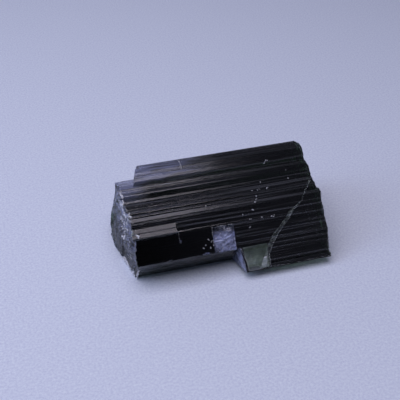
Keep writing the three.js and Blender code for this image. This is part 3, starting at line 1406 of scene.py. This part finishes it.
def add_lights(stage):
    """The panels overhead and the window at the left."""
    for number, (right_edge, share) in enumerate(OVERHEAD_PANELS):
        middle = (right_edge + OVERHEAD_LEFT) / 2
        add_light(
            f"overhead_light_{number}",
            (middle, OVERHEAD_Y, OVERHEAD_HEIGHT),
            (middle, OVERHEAD_Y, 0.0),
            (right_edge - OVERHEAD_LEFT, OVERHEAD_DEPTH),
            stage.overhead_radiance * share,
            OVERHEAD_COLOUR,
        )
    add_light(
        "window_light",
        WINDOW_PLACE,
        (0.0, 0.0, 0.0),
        WINDOW_SIZE,
        stage.window_radiance,
        WINDOW_COLOUR,
    )


def add_world():
    """Dim surroundings: paler to the right in front, and to the left and low down behind."""
    world = bpy.data.worlds.new("surroundings")
    world.use_nodes = True
    bpy.context.scene.world = world
    tree = world.node_tree
    ground = tree.nodes["Background"]
    where = tree.nodes.new("ShaderNodeTexCoord").outputs["Generated"]
    across, away, up = add_node(tree, "ShaderNodeSeparateXYZ", _0=where).outputs
    front = ranged(tree, across, 0.15, 0.30, 0.02, 0.10)
    rear = ranged(tree, across, 0.14, 0.36, 0.17, 0.055)
    turn = ranged(tree, away, -0.3, 0.3, 0.0, 1.0)
    front = maths(tree, "MULTIPLY", front, maths(tree, "SUBTRACT", 1.0, turn))
    round_about = maths(tree, "ADD", maths(tree, "MULTIPLY", rear, turn), front)
    sweep = maths(
        tree,
        "MULTIPLY",
        ranged(tree, up, 0.22, 0.42, 0.35, 0.0),
        ranged(tree, away, 0.0, 0.5, 0.0, 1.0),
    )
    ground.inputs["Color"].default_value = (*SURROUNDINGS_COLOUR, 1.0)
    tree.links.new(maths(tree, "ADD", round_about, sweep), ground.inputs["Strength"])


def add_camera(stage):
    """The camera, aimed at its point from its azimuth and its elevation."""
    a, e = stage.camera_azimuth, stage.camera_elevation
    back = Vector((math.sin(a) * math.cos(e), -math.cos(a) * math.cos(e), math.sin(e)))
    data = bpy.data.cameras.new("camera")
    data.lens = LENS
    data.sensor_width = SENSOR
    data.clip_start = NEAREST
    data.clip_end = FARTHEST
    camera = linked("camera", data)
    camera.location = place(*LOOK_AT) + back * stage.camera_distance
    camera.rotation_euler = back.to_track_quat("Z", "Y").to_euler()
    bpy.context.scene.camera = camera


# ---------------------------------------------------------------- operators


class TOURMALINE_OT_crystal(bpy.types.Operator):
    """Grow the crystal with its growth steps and fractures"""

    bl_idname = "tourmaline.crystal"
    bl_label = "Crystal"

    def execute(self, context):
        grow_crystal(context.scene.crystal_sizes, context.scene.crystal_look)
        return {"FINISHED"}


class TOURMALINE_OT_specks(bpy.types.Operator):
    """Scatter crushed specks over the crystal"""

    bl_idname = "tourmaline.specks"
    bl_label = "Specks"

    def execute(self, context):
        grow_specks(context.scene.crystal_sizes, context.scene.crystal_look)
        return {"FINISHED"}


class TOURMALINE_OT_veil(bpy.types.Operator):
    """Seal the healed fracture in the crystal"""

    bl_idname = "tourmaline.veil"
    bl_label = "Healed Fracture"

    def execute(self, context):
        grow_veil(context.scene.crystal_look)
        return {"FINISHED"}


class TOURMALINE_OT_cracks(bpy.types.Operator):
    """Seal the cleavage cracks in the clear corner"""

    bl_idname = "tourmaline.cracks"
    bl_label = "Cleavage Cracks"

    def execute(self, context):
        grow_cracks(context.scene.crystal_look)
        return {"FINISHED"}


class TOURMALINE_OT_crumbs(bpy.types.Operator):
    """Lay lines of crumbs along the bruised edges, and a painted highlight along the toe"""

    bl_idname = "tourmaline.crumbs"
    bl_label = "Edge Crumbs"

    def execute(self, context):
        grow_crumbs(context.scene.crystal_look)
        return {"FINISHED"}


class TOURMALINE_OT_stage(bpy.types.Operator):
    """Set the floor, the lights and the camera"""

    bl_idname = "tourmaline.stage"
    bl_label = "Stage"

    def execute(self, context):
        stage = context.scene.crystal_stage
        add_floor(stage)
        add_lights(stage)
        add_world()
        add_camera(stage)
        context.scene.view_settings.view_transform = "Standard"
        return {"FINISHED"}


class TOURMALINE_PT_panel(bpy.types.Panel):
    """Everything that makes the crystal and its stage"""

    bl_label = "Tourmaline"
    bl_idname = "TOURMALINE_PT_panel"
    bl_space_type = "VIEW_3D"
    bl_region_type = "UI"
    bl_category = "Tourmaline"

    def draw(self, context):
        scene = context.scene
        for settings in (scene.crystal_sizes, scene.crystal_look, scene.crystal_stage):
            column = self.layout.column()
            for name in settings.bl_rna.properties.keys():
                if name not in ("rna_type", "name"):
                    column.prop(settings, name)
        for operator in OPERATORS:
            self.layout.operator(operator.bl_idname)


SETTINGS = (
    ("crystal_sizes", CrystalSizes),
    ("crystal_look", CrystalLook),
    ("crystal_stage", StageSettings),
)
OPERATORS = (
    TOURMALINE_OT_crystal,
    TOURMALINE_OT_veil,
    TOURMALINE_OT_cracks,
    TOURMALINE_OT_crumbs,
    TOURMALINE_OT_specks,
    TOURMALINE_OT_stage,
)
CLASSES = tuple(group for _, group in SETTINGS) + OPERATORS + (TOURMALINE_PT_panel,)


def register():
    for entry in CLASSES:
        bpy.utils.register_class(entry)
    for name, group in SETTINGS:
        setattr(bpy.types.Scene, name, PointerProperty(type=group))


def unregister():
    for name, _ in SETTINGS:
        delattr(bpy.types.Scene, name)
    for entry in reversed(CLASSES):
        bpy.utils.unregister_class(entry)


def main():
    register()
    bpy.ops.tourmaline.crystal()
    bpy.ops.tourmaline.veil()
    bpy.ops.tourmaline.cracks()
    bpy.ops.tourmaline.crumbs()
    bpy.ops.tourmaline.specks()
    bpy.ops.tourmaline.stage()


if __name__ == "__main__":
    main()
